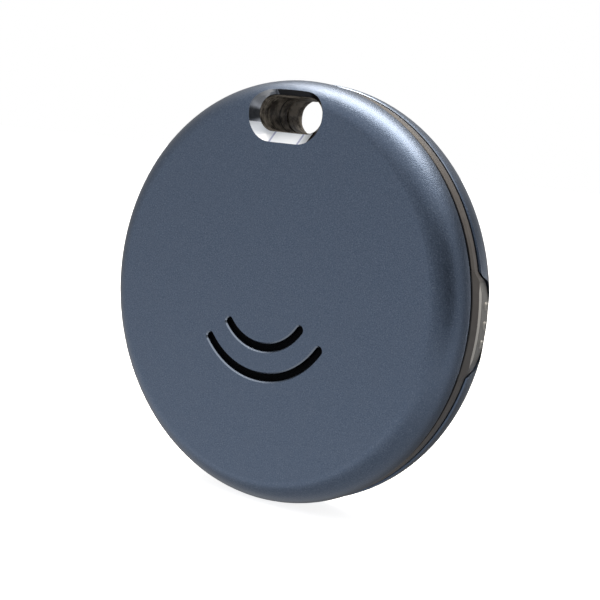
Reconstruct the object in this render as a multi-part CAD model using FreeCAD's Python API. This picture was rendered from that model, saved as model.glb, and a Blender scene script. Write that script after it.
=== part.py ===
"""Coin-shaped Bluetooth key finder: two metal shells clipped over a smoky plastic middle frame.

Frame, in millimetres: the origin is the centre of the disc, -Y is the front face, +Z is the end
with the keyring slot and +X is the side with the push button.
"""
import FreeCAD, Part
import math
import os

os.makedirs("parts", exist_ok=True)

V = FreeCAD.Vector
FRONT = -1.0
REAR = 1.0

# Case
RADIUS = 15.5           # outer radius of the disc
THICKNESS = 6.6         # front face to rear face
WALL = 0.5              # face of each metal shell
SIDE_WALL = 0.6         # rim of each metal shell
ROUND_R = 1.8           # rim rounding, measured along the radius
ROUND_Y = 2.30          # rim rounding, measured along the disc's axis
BAND_FRONT = -0.48      # front edge of the visible plastic band
BAND_REAR = 0.43        # rear edge of the visible plastic band
FRONT_GAP = 0.39        # open groove between the band and the front shell
REAR_GAP = 0.14         # open groove between the band and the rear shell
RIM_BEVEL = 0.09        # bright cut edge of each shell's rim
FILM = 0.08             # adhesive film and acoustic mesh
FIT = 0.05              # clearance of plastic pieces beside each other

# Keyring slot, given as half length (X) and half height (Z)
SLOT_Z = 12.95
SLOT_MOUTH = (3.27, 2.10)
SLOT_THROAT = (2.82, 1.33)
SLOT_CUT_DEPTH = 0.70
SLOT_OVERRUN = 0.4      # how far the cutters run past a face
SLOT_COLLAR = (3.70, 2.20)
COLLAR_FIT = 0.08
SLEEVE_LIP = (2.76, 1.29)
SLEEVE_STEP = (2.68, 1.26)
SLEEVE_BORE = (2.60, 1.22)
SLEEVE_OVERRUN = 0.10
SLEEVE_STEP_DEPTH = 0.40
SLEEVE_BORE_DEPTH = 0.85
SLEEVE_OUT = (3.30, 1.85)
SLEEVE_BASE = (4.30, 2.80)

# Sound outlet: two concentric curved slots below the disc's centre
SOUND_RADII = (3.97, 6.14)
SOUND_HALF_ANGLE = 53.5
SOUND_TURN = 3.5        # the pair is turned this far towards +X
SOUND_WIDTH = 0.57
SOUND_BEVEL = 0.10

# Middle frame
FRAME_PLATE = 0.40
FRAME_RING_IN = 14.0
FRAME_RING_OUT = 14.5
BAND_CREST = 15.42
BAND_CREST_Y = -0.10
BAND_EDGE = 15.32
BAND_EDGE_REAR = 15.37
SKIN_FIT = 0.08         # room between the plastic and the inside of a shell
BOSS_RADIUS = 1.0

# Rear tray
TRAY_IN = 13.0
TRAY_FRONT = 0.66
TONGUE_RING = (13.35, 13.85)
TONGUE_ANGLES = (35.0, 150.0, 205.0, 325.0)
TONGUE_HALF = 1.2
TONGUE_TIP = -0.45

# Electronics and buzzer
BOARD_RADIUS = 13.2
BOARD_THICKNESS = 0.5
PARTS_ROOM = 0.90       # between the frame's plate and the board
BUZZER_Z = -4.6
BUZZER_RADIUS = 6.0
CERAMIC_RADIUS = 4.5
BUZZER_SHEET = 0.15
BUZZER_SEAT = 0.22      # height of the ring that carries the buzzer's plate
SCREW_RING = 12.1
SCREW_ANGLES = (-35.0, 58.0, 125.0)
SCREW_SHANK = 0.42
SCREW_HEAD = 1.1

# Coin cell, 20 x 3.2
CELL_X = -1.5
CELL_Z = -2.3
CELL_RADIUS = 10.0
CELL_HEIGHT = 3.2
CELL_WALL = 0.25
CONTACT_ROOM = 0.25     # between the board and the cell
HOLDER_WALL = 0.6

# Push button
BUTTON_HALF_FOOT = 3.70 # half width where it leaves the band
BUTTON_FLARE = 0.50     # how much of that is the flared foot
BUTTON_FLARE_Y = 0.65   # height of the flared foot
BUTTON_DOME_Y = 0.60    # level where the domed outline starts
BUTTON_REAR = 2.65
DOME_POWER = 2.5        # the dome is a superellipse
BUTTON_TRAVEL = 0.25
BUTTON_REAR_RADIUS = 14.94
BUTTON_KNEE_Y = 0.90    # the skin is thicker behind this level
BUTTON_REAR_IN = 14.55
NOTCH_GAP = 0.10
STEM_HALF = 2.0
STEM_INSET = 0.06
CREST_FRONT = 0.23      # the button's flat crest, level with the shells
CREST_REAR = 0.70
BUMP_PITCH = 5.0        # degrees round the disc
BUMP_RADIUS = 0.26
BUMP_Y = 1.72
BUMP_SUNK = 0.45        # part of its radius that each bump is sunk in
BUTTON_SKIN_IN = FRAME_RING_OUT + BUTTON_TRAVEL + 0.07
BUTTON_ROOM_IN = BUTTON_REAR_IN - BUTTON_TRAVEL - 0.07

# Levels along the axis, from the driving sizes
HALF = THICKNESS / 2.0
FRONT_INNER = -HALF + WALL
REAR_INNER = HALF - WALL
PLATE_FRONT = FRONT_INNER + FILM
PLATE_REAR = PLATE_FRONT + FRAME_PLATE
BUZZER_FRONT = PLATE_REAR + BUZZER_SEAT
BOARD_FRONT = PLATE_REAR + PARTS_ROOM
BOARD_REAR = BOARD_FRONT + BOARD_THICKNESS
CELL_FRONT = BOARD_REAR + CONTACT_ROOM
CELL_REAR = CELL_FRONT + CELL_HEIGHT
FRONT_RIM = BAND_FRONT - FRONT_GAP
REAR_RIM = BAND_REAR + REAR_GAP
TRAY_REAR = REAR_INNER - FILM
THROAT_Y = HALF - SLOT_CUT_DEPTH


def save(shape, node):
    """Write one piece as parts/NODE.step."""
    shape = shape.removeSplitter()
    if not shape.isValid():
        raise ValueError(node + " is not a valid solid")
    shape.exportStep("parts/" + node + ".step")
    print(node, "solids", len(shape.Solids), "volume", round(shape.Volume, 3))


def revolve(points_or_edges):
    """Revolve a closed outline of (radius, y) round the disc's axis."""
    wire = Part.Wire(points_or_edges)
    return Part.Face(wire).revolve(V(0, 0, 0), V(0, 1, 0), 360)


def line(p, q):
    return Part.LineSegment(V(p[0], p[1], 0), V(q[0], q[1], 0)).toShape()


def polygon_turned(points):
    """Revolve a straight-sided outline of (radius, y) points."""
    count = len(points)
    return revolve([line(points[i], points[(i + 1) % count]) for i in range(count)])


def tube(r_in, r_out, y0, y1, x=0.0, z=0.0):
    """A ring along Y; r_in of 0 gives a plain disc."""
    ring = Part.makeCylinder(r_out, y1 - y0, V(x, y0, z), V(0, 1, 0))
    if r_in > 0:
        ring = ring.cut(Part.makeCylinder(r_in, y1 - y0, V(x, y0, z), V(0, 1, 0)))
    return ring


def block(x0, x1, y0, y1, z0, z1):
    return Part.makeBox(x1 - x0, y1 - y0, z1 - z0, V(x0, y0, z0))


def turned_about_axis(shape, degrees, x=0.0, z=0.0):
    """A copy turned about a line along Y, positive from +X towards +Z."""
    copy = shape.copy()
    copy.rotate(V(x, 0, z), V(0, 1, 0), -degrees)
    return copy


def obround_wire(half, y):
    """The slot's outline at one level: a rectangle with round ends."""
    a, b = half
    c = a - b
    top = Part.LineSegment(V(-c, y, SLOT_Z + b), V(c, y, SLOT_Z + b)).toShape()
    right = Part.Arc(V(c, y, SLOT_Z + b), V(a, y, SLOT_Z), V(c, y, SLOT_Z - b)).toShape()
    low = Part.LineSegment(V(c, y, SLOT_Z - b), V(-c, y, SLOT_Z - b)).toShape()
    left = Part.Arc(V(-c, y, SLOT_Z - b), V(-a, y, SLOT_Z), V(-c, y, SLOT_Z + b)).toShape()
    return Part.Wire([top, right, low, left])


def obround(half, y0, y1):
    return Part.Face(obround_wire(half, y0)).extrude(V(0, y1 - y0, 0))


def slot_cutter(side):
    """The flared mouth of the keyring slot and its throat, on one side of the disc."""
    face_y = side * HALF
    throat_y = side * THROAT_Y
    over = SLOT_OVERRUN / SLOT_CUT_DEPTH
    beyond = tuple(m + (m - t) * over for m, t in zip(SLOT_MOUTH, SLOT_THROAT))
    wires = [obround_wire(beyond, face_y + side * SLOT_OVERRUN), obround_wire(SLOT_THROAT, throat_y)]
    flare = Part.makeLoft(wires, True, True)
    ends = sorted((throat_y, throat_y - side * SLOT_OVERRUN))
    return flare.fuse(obround(SLOT_THROAT, ends[0], ends[1]))


def rim_arc(side, radial, axial):
    """Quarter ellipse from the face to the rim, in the (radius, y) plane."""
    centre = V(RADIUS - ROUND_R, side * (HALF - ROUND_Y), 0)
    ellipse = Part.Ellipse(centre + V(0, axial, 0), centre + V(radial, 0, 0), centre)
    if side > 0:
        return Part.ArcOfEllipse(ellipse, 0, math.pi / 2).toShape()
    return Part.ArcOfEllipse(ellipse, math.pi / 2, math.pi).toShape()


def half_case(side, skin_face, skin_rim, edge_y, bevel=0.0):
    """The solid inside a skin of the given thickness, from the face to edge_y."""
    face_y = side * (HALF - skin_face)
    knee_y = side * (HALF - ROUND_Y)
    flat_r = RADIUS - ROUND_R
    rim_r = RADIUS - skin_rim
    edges = [line((0, edge_y), (0, face_y)), line((0, face_y), (flat_r, face_y))]
    edges.append(rim_arc(side, ROUND_R - skin_rim, ROUND_Y - skin_face))
    if bevel > 0:
        edges.append(line((rim_r, knee_y), (rim_r, edge_y + side * bevel)))
        edges.append(line((rim_r, edge_y + side * bevel), (rim_r - bevel, edge_y)))
        edges.append(line((rim_r - bevel, edge_y), (0, edge_y)))
    else:
        edges.append(line((rim_r, knee_y), (rim_r, edge_y)))
        edges.append(line((rim_r, edge_y), (0, edge_y)))
    return revolve(Part.__sortEdges__(edges))


def button_side(margin):
    """Points up one side of the button's outline, from its flared foot to the top of its dome."""
    half = BUTTON_HALF_FOOT - BUTTON_FLARE + margin
    height = BUTTON_REAR - BUTTON_DOME_Y + margin
    levels = [(half, BAND_REAR + margin / 2.0)]
    steps = 8
    for i in range(steps + 1):
        turn = math.pi / 2.0 * i / steps
        across = half * max(0.0, math.cos(turn)) ** (2.0 / DOME_POWER)
        levels.append((across, BUTTON_DOME_Y + height * math.sin(turn) ** (2.0 / DOME_POWER)))
    points = []
    for across, y in levels:
        left = max(0.0, 1.0 - (y - BAND_REAR - margin / 2.0) / BUTTON_FLARE_Y)
        points.append(V(0, y, across + BUTTON_FLARE * left ** 2))
    return points


def button_outline(margin, front_y):
    """Prism along X over the button's bell-shaped outline, widened by margin."""
    upper = button_side(margin)
    lower = [V(0, p.y, -p.z) for p in reversed(upper[:-1])]
    foot = BUTTON_HALF_FOOT + margin
    bell = Part.BSplineCurve()
    bell.interpolate(upper + lower)
    edges = [
        Part.LineSegment(V(0, front_y, -foot), V(0, front_y, foot)).toShape(),
        Part.LineSegment(V(0, front_y, foot), upper[0]).toShape(),
        bell.toShape(),
        Part.LineSegment(lower[-1], V(0, front_y, -foot)).toShape(),
    ]
    prism = Part.Face(Part.Wire(edges)).extrude(V(4.0, 0, 0))
    prism.translate(V(12.9, 0, 0))
    return prism


def sound_slot(radius, width, half_angle, y0, y1):
    """A curved slot with round ends, centred a few degrees from -Z."""
    def at(r, degrees):
        a = math.radians(degrees - 90.0 + SOUND_TURN)
        return V(r * math.cos(a), y0, r * math.sin(a))

    r_in = radius - width / 2.0
    r_out = radius + width / 2.0
    end = half_angle + math.degrees(width / 2.0 / radius)
    edges = [
        Part.Arc(at(r_out, -half_angle), at(r_out, 0), at(r_out, half_angle)).toShape(),
        Part.Arc(at(r_out, half_angle), at(radius, end), at(r_in, half_angle)).toShape(),
        Part.Arc(at(r_in, half_angle), at(r_in, 0), at(r_in, -half_angle)).toShape(),
        Part.Arc(at(r_in, -half_angle), at(radius, -end), at(r_out, -half_angle)).toShape(),
    ]
    return Part.Face(Part.Wire(edges)).extrude(V(0, y1 - y0, 0))


def shell(side, rim_y):
    """One metal shell with the flared mouth of the keyring slot."""
    outer = half_case(side, 0.0, 0.0, rim_y, RIM_BEVEL)
    inner = half_case(side, WALL, SIDE_WALL, rim_y)
    collar_levels = sorted((side * (HALF - WALL / 2.0), side * THROAT_Y))
    collar = obround(SLOT_COLLAR, collar_levels[0], collar_levels[1]).common(outer)
    return outer.cut(inner).fuse(collar).cut(slot_cutter(side))


def front_shell():
    body = shell(FRONT, FRONT_RIM)
    for radius in SOUND_RADII:
        body = body.cut(sound_slot(radius, SOUND_WIDTH, SOUND_HALF_ANGLE, -HALF - 0.1, FRONT_INNER + 0.1))
    mouths = []
    for edge in body.Edges:
        box = edge.BoundBox
        on_face = abs(box.YMin + HALF) < 1e-6 and abs(box.YMax + HALF) < 1e-6
        inside = max(abs(box.XMin), abs(box.XMax)) < 7.0 and box.ZMax < 0.0
        if on_face and inside:
            mouths.append(edge)
    return body.makeChamfer(SOUND_BEVEL, mouths)


def rear_shell():
    return shell(REAR, REAR_RIM).cut(button_outline(NOTCH_GAP, BAND_REAR - 1.0))


def sleeve_passage(side, end_y):
    """The stepped inside of the plastic sleeve, widest at the mouth."""
    lip_y = side * (THROAT_Y + SLEEVE_OVERRUN)
    step_y = side * (THROAT_Y - SLEEVE_STEP_DEPTH)
    bore_y = side * (THROAT_Y - SLEEVE_BORE_DEPTH)
    passage = obround(SLEEVE_LIP, *sorted((lip_y, step_y)))
    passage = passage.fuse(obround(SLEEVE_STEP, *sorted((step_y, bore_y))))
    return passage.fuse(obround(SLEEVE_BORE, *sorted((bore_y, end_y))))


def frame_band():
    outline = [
        (FRAME_RING_IN, BAND_FRONT), (BAND_EDGE, BAND_FRONT), (BAND_CREST, BAND_CREST_Y),
        (BAND_EDGE_REAR, BAND_REAR), (FRAME_RING_IN, BAND_REAR),
    ]
    return polygon_turned(outline)


def sleeve_blank(base_y, top_y, tip_y):
    """Outside of the sleeve: a wide base against the shell's collar, then the narrow tube."""
    base = obround(SLEEVE_BASE, *sorted((base_y, top_y)))
    return base.fuse(obround(SLEEVE_OUT, *sorted((top_y, tip_y))))


def widened(half, extra):
    return (half[0] + extra, half[1] + extra)


def middle_frame():
    """Front plate, ring, visible band, front half of the sleeve, buzzer seat and screw bosses."""
    room = half_case(FRONT, WALL + FILM, SIDE_WALL + SKIN_FIT, BAND_REAR)
    body = tube(0, FRAME_RING_OUT, PLATE_FRONT, PLATE_REAR)
    body = body.fuse(tube(FRAME_RING_IN, FRAME_RING_OUT, PLATE_FRONT, BAND_REAR))
    body = body.fuse(sleeve_blank(PLATE_FRONT, PLATE_REAR + 0.5, BAND_REAR))
    body = body.common(room).fuse(frame_band())
    seat = tube(BUZZER_RADIUS - 0.6, BUZZER_RADIUS + 0.3, PLATE_REAR, BUZZER_FRONT, 0, BUZZER_Z)
    body = body.fuse(seat)
    for degrees in SCREW_ANGLES:
        boss = tube(0, BOSS_RADIUS, PLATE_REAR, BOARD_FRONT, SCREW_RING, 0)
        body = body.fuse(turned_about_axis(boss, degrees))
    body = body.cut(obround(widened(SLOT_COLLAR, COLLAR_FIT), -HALF, -THROAT_Y + 0.06))
    body = body.cut(sleeve_passage(FRONT, BAND_REAR + 0.1))
    for degrees in SCREW_ANGLES:
        hole = tube(0, SCREW_SHANK + 0.03, PLATE_REAR - 0.1, BOARD_FRONT + 0.1, SCREW_RING, 0)
        body = body.cut(turned_about_axis(hole, degrees))
    plate_ends = (PLATE_FRONT - 0.1, PLATE_REAR + 0.1)
    for radius in SOUND_RADII:
        body = body.cut(sound_slot(radius, SOUND_WIDTH + 0.5, SOUND_HALF_ANGLE - 6.0, *plate_ends))
    button_room = button_outline(FIT, BAND_FRONT - 0.3).cut(tube(0, FRAME_RING_OUT, -HALF, HALF))
    body = body.cut(button_room)
    front_y = BAND_FRONT + STEM_INSET - FIT
    half = STEM_HALF + FIT
    return body.cut(block(12.0, 16.0, front_y, BAND_REAR + 0.1, -half, half))


def rear_tray():
    """Plastic ring bonded in the rear shell, with the rear half of the sleeve and four clips."""
    room = half_case(REAR, WALL + FILM, SIDE_WALL + SKIN_FIT, TRAY_FRONT)
    body = tube(TRAY_IN, RADIUS, TRAY_FRONT, TRAY_REAR)
    body = body.fuse(sleeve_blank(TRAY_REAR, TRAY_REAR - 0.9, TRAY_FRONT)).common(room)
    clip_room = block(TRAY_IN - 1.0, RADIUS, -1.0, 2.0, -TONGUE_HALF, TONGUE_HALF)
    for degrees in TONGUE_ANGLES:
        tongue = tube(TONGUE_RING[0], TONGUE_RING[1], TONGUE_TIP, TRAY_FRONT + 0.2).common(clip_room)
        body = body.fuse(turned_about_axis(tongue, degrees))
    body = body.cut(obround(widened(SLOT_COLLAR, COLLAR_FIT), THROAT_Y - 0.06, HALF))
    body = body.cut(sleeve_passage(REAR, TRAY_FRONT - 0.1))
    behind_button = block(12.0, 16.0, TRAY_FRONT - 0.1, HALF, -4.3, 4.3)
    return body.cut(behind_button.cut(tube(0, BUTTON_ROOM_IN, -HALF, HALF)))


def front_adhesive():
    film = tube(7.3, 13.6, FRONT_INNER, PLATE_FRONT)
    return film.cut(obround(widened(SLOT_COLLAR, COLLAR_FIT), -HALF, 0))


def sound_mesh():
    return sound_slot(5.05, 3.6, 62.0, FRONT_INNER, PLATE_FRONT)


def rear_adhesive():
    film = tube(13.02, 13.6, TRAY_REAR, REAR_INNER)
    return film.cut(obround(widened(SLOT_COLLAR, COLLAR_FIT), 0, HALF))


def insulator_film():
    disc = tube(0, 12.85, REAR_INNER - 0.12, REAR_INNER)
    return disc.cut(obround(widened(SLEEVE_BASE, 0.15), 0, HALF))


def buzzer_plate():
    return tube(0, BUZZER_RADIUS, BUZZER_FRONT, BUZZER_FRONT + BUZZER_SHEET, 0, BUZZER_Z)


def buzzer_ceramic():
    y = BUZZER_FRONT + BUZZER_SHEET
    return tube(0, CERAMIC_RADIUS, y, y + BUZZER_SHEET, 0, BUZZER_Z)


def buzzer_contacts():
    y_plate = BUZZER_FRONT + BUZZER_SHEET
    on_ceramic = tube(0, 0.45, y_plate + BUZZER_SHEET, BOARD_FRONT, 0, BUZZER_Z)
    on_plate = tube(0, 0.45, y_plate, BOARD_FRONT, BUZZER_RADIUS - 0.7, BUZZER_Z)
    return Part.makeCompound([on_ceramic, on_plate])


def circuit_board():
    board = tube(0, BOARD_RADIUS, BOARD_FRONT, BOARD_REAR)
    board = board.cut(obround(widened(SLEEVE_OUT, 0.25), -HALF, HALF))
    opening = block(-SLEEVE_OUT[0] - 0.25, SLEEVE_OUT[0] + 0.25, -HALF, HALF, SLOT_Z - 0.4, RADIUS)
    board = board.cut(opening)
    for degrees in SCREW_ANGLES:
        board = board.cut(turned_about_axis(tube(0, 0.55, -HALF, HALF, SCREW_RING, 0), degrees))
    return board


def board_screws():
    screws = []
    for degrees in SCREW_ANGLES:
        head = tube(0, SCREW_HEAD, BOARD_REAR, BOARD_REAR + 0.38, SCREW_RING, 0)
        head = head.makeFillet(0.15, [head.Edges[0]])
        shank = tube(0, SCREW_SHANK, PLATE_REAR + 0.1, BOARD_REAR, SCREW_RING, 0)
        screw = head.fuse(shank)
        for turn in (45.0, 135.0):
            bar = block(SCREW_RING - 0.6, SCREW_RING + 0.6, BOARD_REAR + 0.18, BOARD_REAR + 0.5, -0.12, 0.12)
            bar.rotate(V(SCREW_RING, 0, 0), V(0, 1, 0), turn)
            screw = screw.cut(bar)
        screws.append(turned_about_axis(screw, degrees))
    return Part.makeCompound(screws)


def chip(x, z, length, width, height, on_rear, degrees=0.0):
    """A rectangular component soldered on one face of the board."""
    y0 = BOARD_REAR if on_rear else BOARD_FRONT - height
    body = block(x - length / 2.0, x + length / 2.0, y0, y0 + height, z - width / 2.0, z + width / 2.0)
    return turned_about_axis(body, degrees, x, z)


def small_passives():
    row = [chip(3.4 + 1.3 * i, 7.0, 0.5, 1.0, 0.5, False) for i in range(5)]
    column = [chip(1.9, 2.3 + 1.2 * i, 1.0, 0.5, 0.5, False) for i in range(4)]
    feed = [chip(-9.9 + 0.7 * i, 7.0 + 0.9 * i, 0.5, 1.0, 0.5, True, -38.0) for i in range(2)]
    return Part.makeCompound(row + column + feed)


def switch_body():
    body = block(9.7, 12.2, BOARD_REAR, BOARD_REAR + 1.4, -1.75, 1.75)
    pocket = block(11.35, 12.4, BOARD_REAR + 0.29, BOARD_REAR + 1.10, -0.84, 0.84)
    return body.cut(pocket)


def switch_cover():
    """Thin steel lid of the switch with a folded tab at each end."""
    top = BOARD_REAR + 1.4
    lid = block(9.8, 12.1, top, top + 0.1, -1.85, 1.85)
    for side in (-1.0, 1.0):
        z0, z1 = sorted((side * 1.75, side * 1.85))
        lid = lid.fuse(block(10.3, 11.6, BOARD_REAR + 0.3, top + 0.1, z0, z1))
    return lid


def switch_plunger():
    y0 = BOARD_REAR + 0.32
    bar = block(11.65, 12.95, y0, y0 + 0.75, -0.8, 0.8)
    nose = [e for e in bar.Edges if e.BoundBox.XMin > 12.9 and e.BoundBox.YLength > 0.5]
    return bar.makeFillet(0.3, nose)


def side_button():
    """Faceted skin in the rim, a stem through the frame and a flange that keeps it in."""
    crest = polygon_turned([
        (BUTTON_SKIN_IN, BAND_FRONT), (BAND_EDGE, BAND_FRONT), (RADIUS, CREST_FRONT), (RADIUS, CREST_REAR),
        (BUTTON_REAR_RADIUS, BUTTON_REAR), (BUTTON_REAR_IN, BUTTON_REAR), (BUTTON_SKIN_IN, BUTTON_KNEE_Y),
    ])
    skin = crest.common(button_outline(0.0, BAND_FRONT))
    stem = block(13.6, 15.0, BAND_FRONT + STEM_INSET, 0.38, -STEM_HALF, STEM_HALF)
    flange = tube(13.4, 13.92, -0.75, 0.38).common(block(12.0, 15.0, -1.0, 1.0, -2.9, 2.9))
    post = block(12.98, 13.7, -0.58, 0.12, -0.9, 0.9)
    body = skin.fuse([stem, flange, post])
    bump = Part.makeSphere(BUMP_RADIUS, V(bump_reach(), BUMP_Y, 0))
    for i in (-1, 0, 1):
        body = body.fuse(turned_about_axis(bump, i * BUMP_PITCH))
    return body


def bump_reach():
    """Radius at which the bumps are centred: just under the button's rear facet."""
    along = (BUMP_Y - CREST_REAR) / (BUTTON_REAR - CREST_REAR)
    return RADIUS + (BUTTON_REAR_RADIUS - RADIUS) * along - BUMP_RADIUS * BUMP_SUNK


def battery_holder():
    """Low plastic wall round the coin cell, open where the positive contact reaches in."""
    y1 = BOARD_REAR + 1.4
    wall = tube(CELL_RADIUS + 0.15, CELL_RADIUS + 0.15 + HOLDER_WALL, BOARD_REAR, y1, CELL_X, CELL_Z)
    gap = block(CELL_X + 9.0, CELL_X + 12.0, BOARD_REAR - 0.1, y1 + 0.1, CELL_Z - 1.9, CELL_Z + 1.9)
    return wall.cut(turned_about_axis(gap, 120.0, CELL_X, CELL_Z))


def positive_contact():
    """Bent strip that touches the side of the cell."""
    r = CELL_RADIUS + 0.03
    leaf = block(r, r + 0.18, BOARD_REAR, BOARD_REAR + 2.1, -1.5, 1.5)
    foot = block(r, r + 1.9, BOARD_REAR, BOARD_REAR + 0.15, -1.5, 1.5)
    bent = leaf.fuse(foot)
    bent.translate(V(CELL_X, 0, CELL_Z))
    return turned_about_axis(bent, 120.0, CELL_X, CELL_Z)


def negative_contact():
    """Flat strip with a raised dimple under the middle of the cell."""
    strip = block(CELL_X - 3.2, CELL_X + 3.2, BOARD_REAR, BOARD_REAR + 0.12, CELL_Z - 1.4, CELL_Z + 1.4)
    dimple = Part.makeCone(1.1, 0.8, 0.1, V(CELL_X, BOARD_REAR + 0.12, CELL_Z), V(0, 1, 0))
    return strip.fuse(dimple)


def cell_can():
    can = tube(0, CELL_RADIUS, CELL_FRONT + 0.2, CELL_REAR, CELL_X, CELL_Z)
    can = can.makeFillet(0.35, [e for e in can.Edges if e.Length > 60.0])
    return can.cut(tube(0, CELL_RADIUS - CELL_WALL, CELL_FRONT, CELL_REAR - CELL_WALL, CELL_X, CELL_Z))


def cell_seal():
    y0 = CELL_FRONT + 0.25
    return tube(8.6, CELL_RADIUS - CELL_WALL, y0, y0 + 0.5, CELL_X, CELL_Z)


def cell_cap():
    cap = tube(0, 8.6, CELL_FRONT, CELL_FRONT + 0.75, CELL_X, CELL_Z)
    edge = [e for e in cap.Edges if abs(e.BoundBox.YMax - CELL_FRONT) < 1e-6]
    return cap.makeFillet(0.2, edge)


def cell_core():
    return tube(0, CELL_RADIUS - CELL_WALL, CELL_FRONT + 0.75, CELL_REAR - CELL_WALL, CELL_X, CELL_Z)


save(front_shell(), "front_shell")
save(front_adhesive(), "front_adhesive")
save(sound_mesh(), "sound_mesh")
save(middle_frame(), "middle_frame")
save(buzzer_plate(), "buzzer_plate")
save(buzzer_ceramic(), "buzzer_ceramic")
save(buzzer_contacts(), "buzzer_contacts")
save(circuit_board(), "circuit_board")
save(board_screws(), "board_screws")
save(chip(5.7, 3.6, 5.0, 5.0, 0.85, False), "radio_chip")
save(chip(9.6, 3.8, 1.6, 2.0, 0.45, False), "clock_crystal")
save(chip(-10.8, 5.05, 1.6, 3.2, 1.2, True, -25.0), "chip_antenna")
save(chip(9.0, 6.6, 3.2, 2.5, 1.6, True, 35.0), "reservoir_capacitor")
save(chip(10.4, 3.5, 2.0, 2.0, 1.2, True), "boost_coil")
save(chip(7.25, -10.25, 2.9, 1.3, 1.0, True, 35.0), "buzzer_driver")
save(small_passives(), "small_passives")
save(battery_holder(), "battery_holder")
save(positive_contact(), "positive_contact")
save(negative_contact(), "negative_contact")
save(cell_can(), "cell_can")
save(cell_seal(), "cell_seal")
save(cell_cap(), "cell_cap")
save(cell_core(), "cell_core")
save(switch_body(), "switch_body")
save(switch_cover(), "switch_cover")
save(switch_plunger(), "switch_plunger")
save(side_button(), "side_button")
save(rear_shell(), "rear_shell")
save(rear_adhesive(), "rear_adhesive")
save(rear_tray(), "rear_tray")
save(insulator_film(), "insulator_film")
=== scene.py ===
"""Looks of the key finder tag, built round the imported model."""
import math

import bmesh
import bpy
from mathutils import Matrix, Vector


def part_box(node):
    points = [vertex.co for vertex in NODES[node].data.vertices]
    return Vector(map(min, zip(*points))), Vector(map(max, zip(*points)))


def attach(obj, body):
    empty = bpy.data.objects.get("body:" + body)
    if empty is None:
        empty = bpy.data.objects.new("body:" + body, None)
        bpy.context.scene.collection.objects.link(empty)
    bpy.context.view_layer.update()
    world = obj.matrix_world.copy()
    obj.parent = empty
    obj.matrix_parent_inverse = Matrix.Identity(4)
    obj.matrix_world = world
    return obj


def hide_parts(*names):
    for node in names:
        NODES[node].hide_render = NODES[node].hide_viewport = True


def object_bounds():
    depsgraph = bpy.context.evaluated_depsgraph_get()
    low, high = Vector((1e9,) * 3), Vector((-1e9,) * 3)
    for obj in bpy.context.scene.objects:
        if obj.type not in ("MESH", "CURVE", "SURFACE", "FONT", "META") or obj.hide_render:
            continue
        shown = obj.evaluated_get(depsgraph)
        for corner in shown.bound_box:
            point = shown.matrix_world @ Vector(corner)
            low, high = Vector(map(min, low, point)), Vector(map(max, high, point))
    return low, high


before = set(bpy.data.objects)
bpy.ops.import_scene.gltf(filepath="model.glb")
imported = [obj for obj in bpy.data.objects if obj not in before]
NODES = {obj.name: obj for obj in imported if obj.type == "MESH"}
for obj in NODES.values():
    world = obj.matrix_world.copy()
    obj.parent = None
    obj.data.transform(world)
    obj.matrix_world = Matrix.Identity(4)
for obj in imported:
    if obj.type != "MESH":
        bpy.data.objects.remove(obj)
CAD_LOW, CAD_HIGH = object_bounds()
MM = 0.001

# Camera: a long lens to the right of the disc's axis, angles in degrees, aimed a little off the middle
VIEW_AZIMUTH = 35.43
VIEW_ELEVATION = 6.42
VIEW_ROLL = 6.45
VIEW_DISTANCE = 97.6 * MM
VIEW_LENS = 78.8
AIM_RIGHT = 0.587 * MM
AIM_UP = -0.582 * MM

# Object, in millimetres: the levels that the finishes and the button's skin follow
RADIUS = 15.5
FACE = 3.3
SLOT_Z = 12.95
MOUTH_HALF = 3.27
MOUTH_ROUND = 2.10
THROAT_HALF = 2.82
THROAT_ROUND = 1.33
MOUTH_DEPTH = 0.70
MOUTH_MARGIN = 0.012
SLEEVE_MARGIN = 0.05
SHADE_START = -0.75     # height above the slot's middle where its bright cut turns to painted shade
SHADE_LEFT = -1.17      # left end of the black part of the painted shade
SHADE_RIGHT = 2.15      # right of this the bright cut ends, below as well, and painted shade takes over
RIM_GLINT = (8.0, 10.5)  # painted glint: heights between which the cut-edge colour fades in on the rims, where they catch the light
SHADE_GREY = -1.5       # the grey left end of the painted shade is at its palest here
# Painted reflection lines across the bright cut where the chamfer's facets meet: their places along X and
# half width
FACET_LINES = (-1.15, 1.35)
FACET_LINE_HALF = 0.085
RIMS = {"front_shell": (-0.965, -0.86), "rear_shell": (0.56, 0.615)}   # levels of the shells' cut edges
RIM_WIDTH = 0.12
SKIN_MARGIN = 0.004
SOUND_ZONE = 7.2        # the sound slots lie within this radius
SOUND_BEVEL = 0.104     # depth of the bevel round the sound slots
MESH_PITCH = 52.0       # radians of the weave's wave in each millimetre
BAND_FRONT = -0.48
BAND_REAR = 0.43
BAND_EDGE = 15.32
BAND_CREST = 15.42
BAND_CREST_Y = -0.10
BAND_EDGE_REAR = 15.37

# Push button: outline as in the design, with the facets that swell out of the band
HALF_FOOT = 3.735
FLARE = 0.50
FLARE_Y = 0.65
DOME_Y = 0.60
DOME_REAR = 2.65
DOME_POWER = 2.5
DOME_EDGE_RADIUS = 14.94
CREST_FRONT = 0.23
CREST_REAR = 0.70
CREST_HIGHLIGHT_REAR = 0.58       # rear edge of the crest's painted highlight
CREST_TIP_Y = 0.36
CREST_TIP = 2.95        # half length of the flat crest, tip to tip
CREST_FULL = 2.20       # half length of its full width
DOME_FALL = (RADIUS - DOME_EDGE_RADIUS) / (DOME_REAR - CREST_REAR)      # slope of the rear facet
DOME_STEPS = 44         # points round the dome
SIDE_STEPS = 6          # points up its straight side
FACET_PARTS = (0.0, 0.04, 0.30, 0.65, 0.96)     # points along a facet, close to its ends to keep them crisp
SKIN_DEPTH = 0.30
SKIN_TUCK = 0.02        # the skin's rear edge leans forward by this much
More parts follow.
